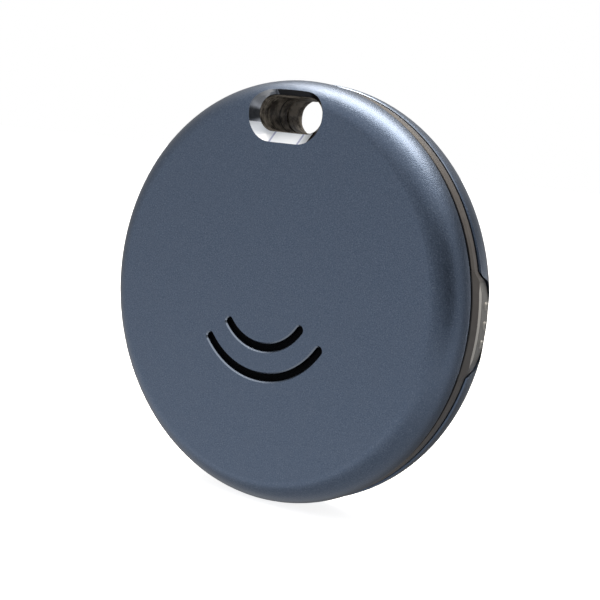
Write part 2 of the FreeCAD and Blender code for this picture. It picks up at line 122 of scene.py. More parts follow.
# Hidden parts of the button as two corners each; the post's first X comes from the node's box
STEM = ((13.6, BAND_FRONT + 0.06, -2.0), (15.02, 0.38, 2.0))
FLANGE = ((13.30, -0.72, -2.75), (13.62, 0.38, 2.75))
POST_START = (-0.58, -0.9)
POST_END = (13.4, 0.12, 0.9)
BLOCK_BEVEL = 0.08
BUMPS = (-1, 0, 1)
BUMP_PITCH = 5.0        # degrees between the dots
BUMP_Y = 1.72
BUMP_RADIUS = 0.29
BUMP_HEIGHT = 0.16
BUMP_LIT = 0.08         # the dots' painted highlight rings end this far behind their middles
BUMP_SHAPE = ((1.18, -0.02), (1.04, 0.01), (0.97, 0.40), (0.86, 0.75), (0.66, 0.93), (0.36, 1.0))
BUMP_SIDES = 28
BUMP_RING = 15.2        # distance of the dots from the disc's axis
SHADOW_LINE = -0.38     # painted shadow: the band is nearly black in front of this level
SHADOW_MARGIN = 0.02

# Solder fillets: reach, height and half width, then the rows along X and Z of each component
SOLDER = (0.14, 0.16, 0.07)
SOLDER_SPREAD = 1.6     # length of a row, in half lengths of the component's side
FILLET_PROFILE = ((0.0, 0.0), (1.0, 0.0), (0.85, 0.16), (0.35, 0.45), (0.0, 1.0))
SOLDERED = (("radio_chip", 8, 8), ("buzzer_driver", 4, 0), ("clock_crystal", 2, 0))

# Studio: brightness of the surroundings round the horizon, by angle from the front towards +X
HORIZON = (
    (-180, 0.50), (-150, 0.30), (-125, 0.35), (-70, 0.64), (-47, 0.80), (-38, 1.18), (-27, 0.72), (5, 0.48),
    (42, 0.38), (58, 0.14), (80, 0.14), (96, 0.90), (114, 0.90), (130, 0.24), (150, 0.20), (180, 0.50),
)
GROUND = (
    (-180, 0.30), (-166, 0.25), (-150, 0.10), (-125, 0.20), (-98, 0.90), (-45, 1.68), (0, 1.55),
    (60, 1.35), (112, 1.15), (140, 0.32), (180, 0.30),
)
OVERHEAD = 1.40
NADIR = 0.74
NADIR_BEHIND = 0.10
# Where one zone of the surroundings turns into the next, as components of the direction
OVERHEAD_FROM = (0.45, 0.80)
GROUND_FROM = (-0.06, -0.36)
NADIR_FROM = (-0.38, -0.72)
BEHIND_FROM = (0.40, 0.85)
# Lamps: name, angle, height, distance in metres, size in metres, power in watts, colour
LAMPS = (
    ("key", 200.0, 75.0, 0.40, (0.42, 0.23), 3.5, (1.0, 0.91, 0.79)),
    ("fill_top", -26.0, 33.0, 0.50, (0.40, 0.28), 0.16, (1.0, 1.0, 1.0)),
    ("edge_strip", 155.0, -4.0, 0.35, (0.022, 0.20), 0.10, (1.0, 1.0, 1.0)),
)
FLOOR_HALF = 3.0
FLOOR_GLOW = 0.85
FLOOR_GREYS = ((0.50, 0.50, 0.50), (0.52, 0.52, 0.52))

# Colours, as linear light
DYE = ((0.30, (0.046, 0.066, 0.102)), (0.58, (0.074, 0.099, 0.146)), (0.72, (0.115, 0.143, 0.195)))
DYE_CLOUD = (0.078, 0.098, 0.138)
# bare cut metal on the sound slots' bevel, and a painted glint on the shells' upper rims
CUT_EDGE_AND_GLINT = (0.18, 0.21, 0.26)
CUT_BRIGHT = (0.66, 0.69, 0.73)
# painted reflection line where the chamfer's facets meet
FACET_LINE_PAINTED_REFLECTION = (0.30, 0.32, 0.46)
# Painted shade on the upper side of the keyring slot's mouth: its greys from the left end, their clouding,
# and black
PAINTED_SHADE_GREYS = ((0.09, 0.10, 0.12), (0.42, 0.43, 0.45))
PAINTED_SHADE_CLOUD = (0.16, 0.17, 0.19)
PAINTED_SHADE_BLACK = (0.006, 0.006, 0.008)
SMOKY = ((0.060, 0.055, 0.052), (0.098, 0.091, 0.087))
SMOKY_BUTTON = ((0.050, 0.045, 0.042), (0.076, 0.069, 0.065))
# mottled sleeve, with painted light where light gets into it
SLEEVE_MOTTLE_AND_GLOW = ((0.040, 0.033, 0.027), (0.21, 0.185, 0.155))
# painted shadow on the band's front strip, in the recess behind the front shell's rim
SMOKY_SHADOW = (0.003, 0.003, 0.004)
# Painted light on the button: lighter rear facet, crest highlight, highlight rings on the dots
REAR_FACET_PAINTED_LIGHT = (0.105, 0.102, 0.097)
CREST_PAINTED_HIGHLIGHT = (0.33, 0.32, 0.30)
DOT_PAINTED_HIGHLIGHT = (0.30, 0.29, 0.27)
MESH = ((0.0008, 0.0009, 0.0012), (0.006, 0.0065, 0.008))
EPOXY = ((0.010, 0.010, 0.011), (0.030, 0.030, 0.032))
EPOXY_DOT = (0.30, 0.30, 0.29)
TIN = ((0.50, 0.50, 0.50), (0.74, 0.74, 0.73))
SOLDER_MASK = ((0.004, 0.028, 0.019), (0.012, 0.072, 0.044))
MASK_CLOUD = (0.006, 0.034, 0.022)
VIA_TIN = (0.70, 0.68, 0.62)

# Plain finishes: name, (dark, pale, grain in millimetres, range of roughness, metal, depth, stretch), nodes
SPECKLED = (
    ("pale_adhesive", ((0.42, 0.40, 0.34), (0.60, 0.58, 0.50), 0.25, (0.45, 0.65)),
     ("front_adhesive", "rear_adhesive")),
    ("black_polyester", ((0.010, 0.010, 0.012), (0.028, 0.028, 0.031), 0.60, (0.22, 0.30), 0.0, 0.001),
     ("insulator_film",)),
    ("silvered_ceramic", ((0.62, 0.61, 0.57), (0.80, 0.79, 0.75), 0.12, (0.45, 0.62)),
     ("buzzer_ceramic",)),
    ("sprung_bronze",
     ((0.76, 0.55, 0.28), (0.86, 0.65, 0.35), 0.05, (0.24, 0.32), 1.0, 0.001, (0.15, 1.0, 1.0)),
     ("buzzer_contacts", "positive_contact", "negative_contact")),
    ("nickel_plate",
     ((0.40, 0.40, 0.41), (0.66, 0.66, 0.66), 0.07, (0.24, 0.38), 1.0, 0.004, (1.0, 1.0, 0.2)),
     ("board_screws", "switch_cover", "clock_crystal")),
    ("fired_ceramic", ((0.20, 0.14, 0.09), (0.46, 0.38, 0.28), 0.16, (0.34, 0.50)),
     ("small_passives",)),
    ("black_moulding", ((0.018, 0.018, 0.019), (0.040, 0.040, 0.042), 0.08, (0.46, 0.62)),
     ("battery_holder", "switch_body")),
    ("grey_nylon", ((0.26, 0.26, 0.27), (0.40, 0.40, 0.41), 0.10, (0.45, 0.60)),
     ("cell_seal",)),
    ("electrode_stack", ((0.045, 0.045, 0.048), (0.11, 0.11, 0.115), 0.12, (0.60, 0.80)),
     ("cell_core",)),
    ("cream_moulding", ((0.58, 0.55, 0.48), (0.74, 0.71, 0.64), 0.09, (0.40, 0.55)),
     ("switch_plunger",)),
)
# Turned sheet and tinned ceramics: node, dark, pale
TURNED = (
    ("buzzer_plate", (0.56, 0.37, 0.13), (0.80, 0.58, 0.27)),
    ("cell_can", (0.50, 0.50, 0.51), (0.72, 0.72, 0.72)),
    ("cell_cap", (0.46, 0.46, 0.47), (0.70, 0.70, 0.70)),
)
TINNED = (
    ("chip_antenna", (0.55, 0.56, 0.58), (0.72, 0.73, 0.74)),
    ("reservoir_capacitor", (0.26, 0.17, 0.09), (0.40, 0.28, 0.16)),
)
CHIPS = ("radio_chip", "boost_coil", "buzzer_driver")

# Size of the noise in the main finishes and depth of their texture, in millimetres
NOISE_RANGE = (0.3, 0.7)
BLAST_SIZE = 0.085
BLAST_DEPTH = 0.022
BLAST_STRENGTH = 0.75
CLOUD_SIZE = 0.9
SMOKE_SIZE = 0.7
MOULD_SIZE = 0.05
MOULD_DEPTH = 0.002
MOULD_STRENGTH = 0.5
BLOTCH_SIZE = 0.9
GRAIN_DEPTH = 0.006     # turned sheet, epoxy and ceramics
COPPER_DEPTH = 0.02
THREAD_DEPTH = 0.02

# Roughness of the main finishes, and how metallic or glossy they are
BLAST_ROUGH = (0.30, 0.42)
EDGE_ROUGH = 0.22
CUT_ROUGH = (0.30, 0.40)
SHADE_ROUGH = 0.12
CUT_METALLIC = 0.45
MOULD_ROUGH = (0.34, 0.46)
MOULD_GLOSS = 0.12
BUTTON_GLOSS = 0.36
TURNED_ROUGH = (0.22, 0.34)
EPOXY_ROUGH = (0.50, 0.68)
TIN_ROUGH = (0.32, 0.46)
MASK_ROUGH = (0.26, 0.38)

# Board pattern, in millimetres
TRACK_PITCH = 0.30
TRACK_HALF = 0.10
VIA_PITCH = 0.9
VIA_RING = (0.07, 0.17)


def add_camera():
    azimuth = math.radians(VIEW_AZIMUTH)
    elevation = math.radians(VIEW_ELEVATION)
    roll = math.radians(VIEW_ROLL)
    forward = Vector((
        -math.sin(azimuth) * math.cos(elevation),
        math.cos(azimuth) * math.cos(elevation),
        -math.sin(elevation),
    ))
    level = forward.cross(Vector((0, 0, 1))).normalized()
    upright = level.cross(forward)
    right = level * math.cos(roll) + upright * math.sin(roll)
    up = right.cross(forward)
    place = right * AIM_RIGHT + up * AIM_UP - forward * VIEW_DISTANCE
    data = bpy.data.cameras.new("camera")
    data.lens = VIEW_LENS
    data.clip_start = 0.01
    data.clip_end = 20.0
    camera = bpy.data.objects.new("camera", data)
    turn = Matrix((right, up, -forward)).transposed().to_4x4()
    camera.matrix_world = Matrix.Translation(place) @ turn
    bpy.context.scene.collection.objects.link(camera)
    bpy.context.scene.camera = camera


def direction(angle, height):
    """Unit vector at an angle from the front (-Y) towards +X and an angle above the horizon."""
    a = math.radians(angle)
    h = math.radians(height)
    return Vector((math.sin(a) * math.cos(h), -math.cos(a) * math.cos(h), math.sin(h)))


def add_area(name, angle, height, distance, size, power, colour):
    data = bpy.data.lights.new(name, "AREA")
    data.shape = "RECTANGLE"
    data.size = size[0]
    data.size_y = size[1]
    data.energy = power
    data.color = colour
    lamp = bpy.data.objects.new(name, data)
    lamp.location = direction(angle, height) * distance
    lamp.rotation_mode = "QUATERNION"
    lamp.rotation_quaternion = (-lamp.location).to_track_quat("-Z", "Y")
    bpy.context.scene.collection.objects.link(lamp)


class Graph:
    """A node tree with short calls for the nodes that the finishes use."""

    def __init__(self, tree):
        self.tree = tree

    def node(self, kind, **settings):
        made = self.tree.nodes.new(kind)
        for key, value in settings.items():
            setattr(made, key, value)
        return made

    def put(self, socket, value):
        if isinstance(value, bpy.types.NodeSocket):
            self.tree.links.new(value, socket)
        else:
            socket.default_value = value

    def math(self, operation, *values):
        made = self.node("ShaderNodeMath", operation=operation)
        for socket, value in zip(made.inputs, values):
            self.put(socket, value)
        return made.outputs[0]

    def over(self, value, level):
        """1 where value is above the level, else 0."""
        return self.math("GREATER_THAN", value, level)

    def under(self, value, level):
        """1 where value is below the level, else 0."""
        return self.math("LESS_THAN", value, level)

    def within(self, value, low, high):
        return self.math("MULTIPLY", self.over(value, low), self.under(value, high))

    def length(self, first, second):
        """Distance from the origin of a point with these two coordinates."""
        squares = [self.math("MULTIPLY", side, side) for side in (first, second)]
        return self.math("SQRT", self.math("ADD", *squares))

    def line_at(self, value, where, half):
        """1 in a narrow stripe round one value."""
        return self.under(self.math("ABSOLUTE", self.math("SUBTRACT", value, where)), half)

    def span(self, value, low, high, start=0.0, end=1.0, shape="SMOOTHSTEP"):
        """value between low and high carried to start and end."""
        made = self.node("ShaderNodeMapRange", interpolation_type=shape)
        for name, given in (("Value", value), ("From Min", low), ("From Max", high),
                            ("To Min", start), ("To Max", end)):
            self.put(made.inputs[name], given)
        return made.outputs[0]

    def vary(self, noise, low, high):
        """A noise's usual range carried to low and high."""
        return self.span(noise, *NOISE_RANGE, low, high)

    def choose(self, mask, off, on):
        """off where the mask is 0 and on where it is 1."""
        return self.span(mask, 0.0, 1.0, off, on, shape="LINEAR")

    def mix(self, factor, first, second):
        made = self.node("ShaderNodeMix", data_type="RGBA")
        self.put(made.inputs[0], factor)
        self.put(made.inputs[6], (*first, 1.0) if isinstance(first, tuple) else first)
        self.put(made.inputs[7], (*second, 1.0) if isinstance(second, tuple) else second)
        return made.outputs[2]

    def ramp(self, factor, stops):
        made = self.node("ShaderNodeValToRGB")
        elements = made.color_ramp.elements
        while len(elements) < len(stops):
            elements.new(0.5)
        for element, (where, level) in zip(elements, stops):
            element.position = where
            colour = level if isinstance(level, tuple) else (level, level, level)
            element.color = (*colour, 1.0)
        self.put(made.inputs[0], factor)
        return made.outputs[0]

    def place(self):
        """Position in the object's own frame, in millimetres."""
        coords = self.node("ShaderNodeTexCoord")
        scaled = self.node("ShaderNodeVectorMath", operation="SCALE")
        self.put(scaled.inputs[0], coords.outputs["Object"])
        scaled.inputs["Scale"].default_value = 1.0 / MM
        return scaled.outputs[0]

    def split(self, vector):
        made = self.node("ShaderNodeSeparateXYZ")
        self.put(made.inputs[0], vector)
        return made.outputs[0], made.outputs[1], made.outputs[2]

    def noise(self, vector, size, detail=2.0, rough=0.5):
        """Noise whose features are about size millimetres across."""
        made = self.node("ShaderNodeTexNoise")
        self.put(made.inputs["Vector"], vector)
        made.inputs["Scale"].default_value = 1.0 / size
        made.inputs["Detail"].default_value = detail
        made.inputs["Roughness"].default_value = rough
        return made.outputs["Fac"]

    def bump(self, height, depth, strength=1.0):
        made = self.node("ShaderNodeBump")
        self.put(made.inputs["Height"], height)
        made.inputs["Distance"].default_value = depth * MM
        self.put(made.inputs["Strength"], strength)
        return made.outputs[0]

    def surface(self, colour, rough, texture, depth, strength=1.0):
        """Connect colour, roughness and a bump texture of some depth in millimetres."""
        self.put(self.shader["Base Color"], colour)
        self.put(self.shader["Roughness"], rough)
        self.put(self.shader["Normal"], self.bump(texture, depth, strength))
        return self.mat


def finish(name, rough=0.4, metal=0.0, **uniform):
    """A material with its Principled shader; uniform values go on the shader's own sockets."""
    mat = bpy.data.materials.new(name)
    mat.use_nodes = True
    graph = Graph(mat.node_tree)
    graph.mat = mat
    graph.shader = mat.node_tree.nodes["Principled BSDF"].inputs
    graph.shader["Roughness"].default_value = rough
    graph.shader["Metallic"].default_value = metal
    for key, value in uniform.items():
        graph.shader[key.replace("_", " ").title().replace("Ior", "IOR")].default_value = value
    return graph


def add_world():
    world = bpy.data.worlds.new("studio")
    world.use_nodes = True
    graph = Graph(world.node_tree)
    world.node_tree.nodes.remove(world.node_tree.nodes["Background"])
    coords = graph.node("ShaderNodeTexCoord")
    x, y, z = graph.split(coords.outputs["Generated"])
    angle = graph.math("ARCTAN2", x, graph.math("MULTIPLY", y, -1.0))
    turn = graph.span(angle, -math.pi, math.pi, shape="LINEAR")
    level = graph.ramp(turn, [((a + 180) / 360, b) for a, b in HORIZON])
    ground = graph.ramp(turn, [((a + 180) / 360, b) for a, b in GROUND])
    level = graph.mix(graph.span(z, *OVERHEAD_FROM), level, (OVERHEAD,) * 3)
    level = graph.mix(graph.span(z, *GROUND_FROM), level, ground)
    under = graph.mix(graph.span(y, *BEHIND_FROM), (NADIR,) * 3, (NADIR_BEHIND,) * 3)
    level = graph.mix(graph.span(z, *NADIR_FROM), level, under)
    seen = graph.node("ShaderNodeBackground")
    seen.inputs["Color"].default_value = (1, 1, 1, 1)
    light = graph.node("ShaderNodeBackground")
    graph.put(light.inputs["Color"], level)
    path = graph.node("ShaderNodeLightPath")
    both = graph.node("ShaderNodeMixShader")
    graph.put(both.inputs[0], path.outputs["Is Camera Ray"])
    graph.put(both.inputs[1], light.outputs[0])
    graph.put(both.inputs[2], seen.outputs[0])
    out = world.node_tree.nodes["World Output"]
    graph.put(out.inputs["Surface"], both.outputs[0])
    bpy.context.scene.world = world


def add_light():
    add_world()
    for lamp in LAMPS:
        add_area(*lamp)
    bpy.context.scene.view_settings.view_transform = "Standard"


def add_floor():
    mesh = bpy.data.meshes.new("floor")
    signs = ((-1, -1), (1, -1), (1, 1), (-1, 1))
    corners = [(FLOOR_HALF * x, FLOOR_HALF * y, CAD_LOW.z) for x, y in signs]
    mesh.from_pydata(corners, [], [(0, 1, 2, 3)])
    floor = bpy.data.objects.new("floor", mesh)
    bpy.context.scene.collection.objects.link(floor)
    pale = finish("floor_paint", rough=0.9, emission_strength=FLOOR_GLOW)
    pale.shader["Emission Color"].default_value = (1, 1, 1, 1)
    speckle = pale.noise(pale.place(), 4.0)
    pale.put(pale.shader["Base Color"], pale.mix(speckle, *FLOOR_GREYS))
    mesh.materials.append(pale.mat)
    floor.visible_glossy = False
    floor.visible_diffuse = False


def inside_mouth(graph, x, y, z):
    """1 on the flared mouth and throat of the keyring slot, 0 on the skin outside them."""
    depth = graph.math("SUBTRACT", FACE, graph.math("ABSOLUTE", y))
    depth = graph.math("MINIMUM", graph.math("MAXIMUM", depth, 0.0), MOUTH_DEPTH)
    narrowing = (MOUTH_ROUND - THROAT_ROUND) / MOUTH_DEPTH
    straight = MOUTH_HALF - MOUTH_ROUND
    lengthening = (THROAT_HALF - THROAT_ROUND - straight) / MOUTH_DEPTH
    end = graph.math("MULTIPLY_ADD", depth, lengthening, straight)
    along = graph.math("MAXIMUM", graph.math("SUBTRACT", graph.math("ABSOLUTE", x), end), 0.0)
    across = graph.math("SUBTRACT", z, SLOT_Z)
    edge = graph.math("MULTIPLY_ADD", depth, -narrowing, MOUTH_ROUND + MOUTH_MARGIN)
    return graph.under(graph.length(along, across), edge)


def cut_metal_and_painted_shade(graph, x, z, coarse):
    """(colour, painted shade mask) of bare cut metal: bright below with painted reflection lines where the
    facets meet, painted shade on the slot's upper side.
    """
    # painted shade above SHADE_START and right of SHADE_RIGHT: black, with a grey left end
    shaded = graph.math("MAXIMUM", graph.over(z, SLOT_Z + SHADE_START), graph.over(x, SHADE_RIGHT))
    grey = graph.mix(graph.span(x, -MOUTH_HALF, SHADE_GREY), *PAINTED_SHADE_GREYS)
    grey = graph.mix(graph.span(coarse, 0.42, 0.55), grey, PAINTED_SHADE_CLOUD)
    painted_shade = graph.mix(graph.over(x, SHADE_LEFT), grey, PAINTED_SHADE_BLACK)
    # painted reflection lines where the chamfer's facets meet
    lines = [graph.line_at(x, where, FACET_LINE_HALF) for where in FACET_LINES]
    bright = graph.mix(graph.math("ADD", *lines), CUT_BRIGHT, FACET_LINE_PAINTED_REFLECTION)
    return graph.mix(shaded, bright, painted_shade), shaded


def anodised(node):
    """Bead-blasted slate-blue anodising with bare polished metal in the keyring slot's mouth, painted shade
    on its upper side, bare metal on the sound slots' bevel and a painted glint on the upper rims.
    """
    graph = finish("anodised_" + node, metal=1.0, coat_weight=0.22, coat_roughness=0.32)
    place = graph.place()
    x, y, z = graph.split(place)
    radius = graph.length(x, z)
    # painted glint: on the shells' rims the cut-edge colour shows only at the heights in RIM_GLINT
    rim = graph.math("MULTIPLY", graph.within(y, *RIMS[node]), graph.over(radius, RADIUS - RIM_WIDTH))
    edges = graph.math("MULTIPLY", rim, graph.span(z, *RIM_GLINT))
    if node == "front_shell":
        bevel = graph.within(y, -FACE + SKIN_MARGIN, -FACE + SOUND_BEVEL)
        edges = graph.math("MAXIMUM", edges, graph.math("MULTIPLY", bevel, graph.under(radius, SOUND_ZONE)))
    fine = graph.noise(place, BLAST_SIZE, 2.0, 0.6)
    coarse = graph.noise(place, CLOUD_SIZE, 3.0)
    dye = graph.mix(graph.vary(coarse, 0.0, 0.16), graph.ramp(fine, DYE), DYE_CLOUD)
    mouth = inside_mouth(graph, x, y, z)
    cut, shaded = cut_metal_and_painted_shade(graph, x, z, coarse)
    colour = graph.mix(mouth, graph.mix(edges, dye, CUT_EDGE_AND_GLINT), cut)
    bright = graph.math("MULTIPLY", mouth, graph.math("SUBTRACT", 1.0, shaded))
    graph.put(graph.shader["Metallic"], graph.choose(bright, 1.0, CUT_METALLIC))
    rough = graph.choose(edges, graph.vary(fine, *BLAST_ROUGH), EDGE_ROUGH)
    polished = graph.choose(shaded, graph.span(coarse, 0.2, 0.8, *CUT_ROUGH), SHADE_ROUGH)
    rough = graph.choose(mouth, rough, polished)
    plain = graph.math("SUBTRACT", 1.0, graph.math("MAXIMUM", mouth, edges))
    return graph.surface(colour, rough, fine, BLAST_DEPTH, graph.math("MULTIPLY", plain, BLAST_STRENGTH))


def smoky(name, button=False):
    """Dark translucent moulding: faint clouding, satin gloss and fine mould texture."""
    graph = finish(name, ior=1.46, specular_ior_level=BUTTON_GLOSS if button else MOULD_GLOSS)
    place = graph.place()
    x, y, z = graph.split(place)
    cloud = graph.noise(place, SMOKE_SIZE, 3.0, 0.6)
    fine = graph.noise(place, MOULD_SIZE, 2.0)
    # the button gets painted highlights and a painted lighter rear facet; the other mouldings get painted
    # light in the keyring sleeve
    if button:
        colour = button_painted_light(graph, y, z, graph.mix(cloud, *SMOKY_BUTTON))
    else:
        colour = sleeve_mottle_and_glow(graph, place, x, z, graph.mix(cloud, *SMOKY))
    # painted shadow on the front strip of the band, in the recess behind the front shell's rim
    shadow = graph.within(y, BAND_FRONT - SHADOW_MARGIN, SHADOW_LINE)
    colour = graph.mix(shadow, colour, SMOKY_SHADOW)
    return graph.surface(colour, graph.vary(fine, *MOULD_ROUGH), fine, MOULD_DEPTH, MOULD_STRENGTH)


def button_painted_light(graph, y, z, colour):
    """Painted light on the button: a painted highlight along the crest between a dark front facet and a
    rear facet painted lighter grey, with painted highlight rings on the dots.
    """
    away = graph.math("ABSOLUTE", z)
    spread = graph.span(away, CREST_FULL, CREST_TIP, 1.0, 0.0)
    front = graph.choose(spread, CREST_TIP_Y, CREST_FRONT)
    rear = graph.choose(spread, CREST_TIP_Y, CREST_HIGHLIGHT_REAR)
    # the rear facet is painted lighter than the front facet
    domed = graph.math("MULTIPLY", graph.over(y, rear), graph.under(away, CREST_TIP))
    colour = graph.mix(domed, colour, REAR_FACET_PAINTED_LIGHT)
    lit = graph.under(y, BUMP_Y + BUMP_LIT)
    back = graph.math("SUBTRACT", y, BUMP_Y)
    # painted highlight rings round the dots, only on their front side
    for i in BUMPS:
        up = graph.math("SUBTRACT", z, BUMP_RING * math.sin(math.radians(i * BUMP_PITCH)))
        ring = graph.line_at(graph.length(up, back), BUMP_RADIUS * 0.86, BUMP_RADIUS * 0.2)
        colour = graph.mix(graph.math("MULTIPLY", ring, lit), colour, DOT_PAINTED_HIGHLIGHT)
    # painted highlight along the crest
    return graph.mix(graph.within(y, front, rear), colour, CREST_PAINTED_HIGHLIGHT)


def sleeve_mottle_and_glow(graph, place, x, z, colour):
    """Warm mottling with painted light where light gets into the sleeve of the keyring slot: the blotches
    run paler than the rest of the moulding.
    """
    along = graph.under(graph.math("ABSOLUTE", x), THROAT_HALF + SLEEVE_MARGIN)
    across = graph.line_at(z, SLOT_Z, THROAT_ROUND + SLEEVE_MARGIN)
    blotches = graph.span(graph.noise(place, BLOTCH_SIZE, 3.0, 0.7), 0.38, 0.62)
    # painted light: paler blotches inside the keyring slot
    return graph.mix(graph.math("MULTIPLY", along, across), colour, graph.mix(blotches, *SLEEVE_MOTTLE_AND_GLOW))


def dark_mesh():
    """Black woven acoustic cloth behind the sound slots."""
    graph = finish("acoustic_mesh", rough=0.9, specular_ior_level=0.03)
    x, _, z = graph.split(graph.place())
    waves = [graph.math("SINE", graph.math("MULTIPLY", side, MESH_PITCH)) for side in (x, z)]
    thread = graph.span(graph.math("MULTIPLY", *waves), -0.4, 0.4)
    graph.put(graph.shader["Base Color"], graph.mix(thread, *MESH))
    graph.put(graph.shader["Normal"], graph.bump(thread, THREAD_DEPTH))
    return graph.mat


def dress(material, *nodes):
    for node in nodes:
        slots = NODES[node].material_slots
        for slot in slots:
            slot.material = material
        if not slots:
            NODES[node].data.materials.append(material)


def speckled(name, dark, pale, size, rough, metal=0.0, depth=0.004, stretch=(1.0, 1.0, 1.0)):
    """Noise drives colour, gloss and texture; stretch below 1 draws the grain out along that axis."""
    graph = finish(name, metal=metal)
    grain = graph.node("ShaderNodeVectorMath", operation="MULTIPLY")
    graph.put(grain.inputs[0], graph.place())
    grain.inputs[1].default_value = stretch
    fine = graph.noise(grain.outputs[0], size, 3.0, 0.6)
    broad = graph.noise(grain.outputs[0], size * 9.0, 2.0)
    level = graph.math("ADD", graph.math("MULTIPLY", fine, 0.6), graph.math("MULTIPLY", broad, 0.4))
    colour = graph.mix(graph.span(level, 0.38, 0.62), dark, pale)
    return graph.surface(colour, graph.vary(fine, *rough), fine, depth)


def middle_of(node):
    """(middle, half size) of a node's box, in millimetres."""
    low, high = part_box(node)
    return (low + high) / 2.0 / MM, (high - low) / 2.0 / MM


def from_middle(graph, node):
    """Distances across, through and up from the middle of a node."""
    middle = middle_of(node)[0]
    place = graph.split(graph.place())
    return [graph.math("SUBTRACT", value, centre) for value, centre in zip(place, middle)]


def turned(node, dark, pale):
    """Drawn and turned sheet: fine rings round the node's own axis."""
    graph = finish("turned_" + node, metal=1.0)
    x, y, z = from_middle(graph, node)
    rings = graph.node("ShaderNodeCombineXYZ")
    graph.put(rings.inputs[0], graph.length(x, z))
    graph.put(rings.inputs[1], graph.math("MULTIPLY", y, 2.0))
    fine = graph.noise(rings.outputs[0], 0.07, 3.0, 0.7)
    stain = graph.noise(graph.place(), 2.4, 3.0)
    colour = graph.mix(graph.vary(fine, 0.0, 1.0), dark, pale)
    colour = graph.mix(graph.span(stain, 0.45, 0.75, 0.0, 0.35), colour, dark)
    return graph.surface(colour, graph.vary(fine, *TURNED_ROUGH), fine, GRAIN_DEPTH)


def moulded_chip(node):
    """Black epoxy with a pale dot over its first pin."""
    graph = finish("epoxy_" + node)
    x, _, z = from_middle(graph, node)
    half = middle_of(node)[1]
    inset = min(half.x, half.z) * 0.35
    reach = graph.length(graph.math("ADD", x, half.x - inset), graph.math("SUBTRACT", z, half.z - inset))
    fine = graph.noise(graph.place(), 0.05, 3.0, 0.7)
    colour = graph.mix(graph.under(reach, inset * 0.45), graph.mix(fine, *EPOXY), EPOXY_DOT)
    return graph.surface(colour, graph.vary(fine, *EPOXY_ROUGH), fine, GRAIN_DEPTH)


def tinned_ends(node, dark, pale):
    """A fired ceramic body with tinned terminals on its two ends."""
    graph = finish("ceramic_" + node)
    x, _, z = from_middle(graph, node)
    half = middle_of(node)[1]
    along, reach = (x, half.x) if half.x > half.z else (z, half.z)
    tinned = graph.over(graph.math("ABSOLUTE", along), reach * 0.72)
    fine = graph.noise(graph.place(), 0.06, 3.0, 0.6)
    graph.put(graph.shader["Metallic"], tinned)
    colour = graph.mix(tinned, graph.mix(fine, dark, pale), graph.mix(fine, *TIN))
    return graph.surface(colour, graph.vary(fine, *TIN_ROUGH), fine, GRAIN_DEPTH)


def laminate():
    """Green solder mask: copper tracks and pours show through, with tinned vias."""
    graph = finish("board_mask", coat_weight=0.4, coat_roughness=0.15)
    place = graph.place()
    x, _, z = graph.split(place)
    rows = graph.under(graph.math("PINGPONG", z, TRACK_PITCH), TRACK_HALF)
    columns = graph.under(graph.math("PINGPONG", x, TRACK_PITCH), TRACK_HALF)
    tracks = graph.mix(graph.over(graph.noise(place, 3.1, 0.0), 0.5), rows, columns)
    copper = graph.math("MAXIMUM", tracks, graph.over(graph.noise(place, 4.3, 1.0), 0.56))
    fine = graph.noise(place, 0.06, 2.0)
    mask = graph.mix(copper, *SOLDER_MASK)
    mask = graph.mix(graph.vary(fine, 0.0, 0.3), mask, MASK_CLOUD)
    reach = graph.length(graph.math("PINGPONG", x, VIA_PITCH), graph.math("PINGPONG", z, VIA_PITCH))
    via = graph.within(reach, *VIA_RING)
    graph.put(graph.shader["Metallic"], via)
    raised = graph.math("ADD", copper, via)
    rough = graph.vary(fine, *MASK_ROUGH)
    return graph.surface(graph.mix(via, mask, VIA_TIN), rough, raised, COPPER_DEPTH)


def dress_case():
    dress(anodised("front_shell"), "front_shell")
    dress(anodised("rear_shell"), "rear_shell")
    dress(smoky("smoky_frame"), "middle_frame")
    dress(smoky("smoky_tray"), "rear_tray")
    dress(dark_mesh(), "sound_mesh")
    add_button(smoky("smoky_button", button=True))


def dress_inside():
    plain = {}
    for name, look, nodes in SPECKLED:
        plain[name] = speckled(name, *look)
        dress(plain[name], *nodes)
    for node, dark, pale in TURNED:
        dress(turned(node, dark, pale), node)
    for node, dark, pale in TINNED:
        dress(tinned_ends(node, dark, pale), node)
    for node in CHIPS:
        dress(moulded_chip(node), node)
    dress(laminate(), "circuit_board")
    add_solder(plain["nickel_plate"])


def ease(value):
    clear = min(1.0, max(0.0, value))
    return clear * clear * (3.0 - 2.0 * clear)


def between(low, high, part):
    return low + (high - low) * part


def button_edge():
    """(half width, y) along one side of the button's outline, from its foot to the top of its dome."""
    half = HALF_FOOT - FLARE
    levels = [(half, between(BAND_REAR, DOME_Y, i / SIDE_STEPS)) for i in range(SIDE_STEPS)]
    for i in range(DOME_STEPS + 1):
        turn = math.pi / 2.0 * i / DOME_STEPS
        across = half * max(0.0, math.cos(turn)) ** (2.0 / DOME_POWER)
        levels.append((across, DOME_Y + (DOME_REAR - DOME_Y) * math.sin(turn) ** (2.0 / DOME_POWER)))
    edge = []
    for across, y in levels:
        left = max(0.0, 1.0 - (y - BAND_REAR) / FLARE_Y)
        edge.append((across + FLARE * left ** 2, y))
    return edge


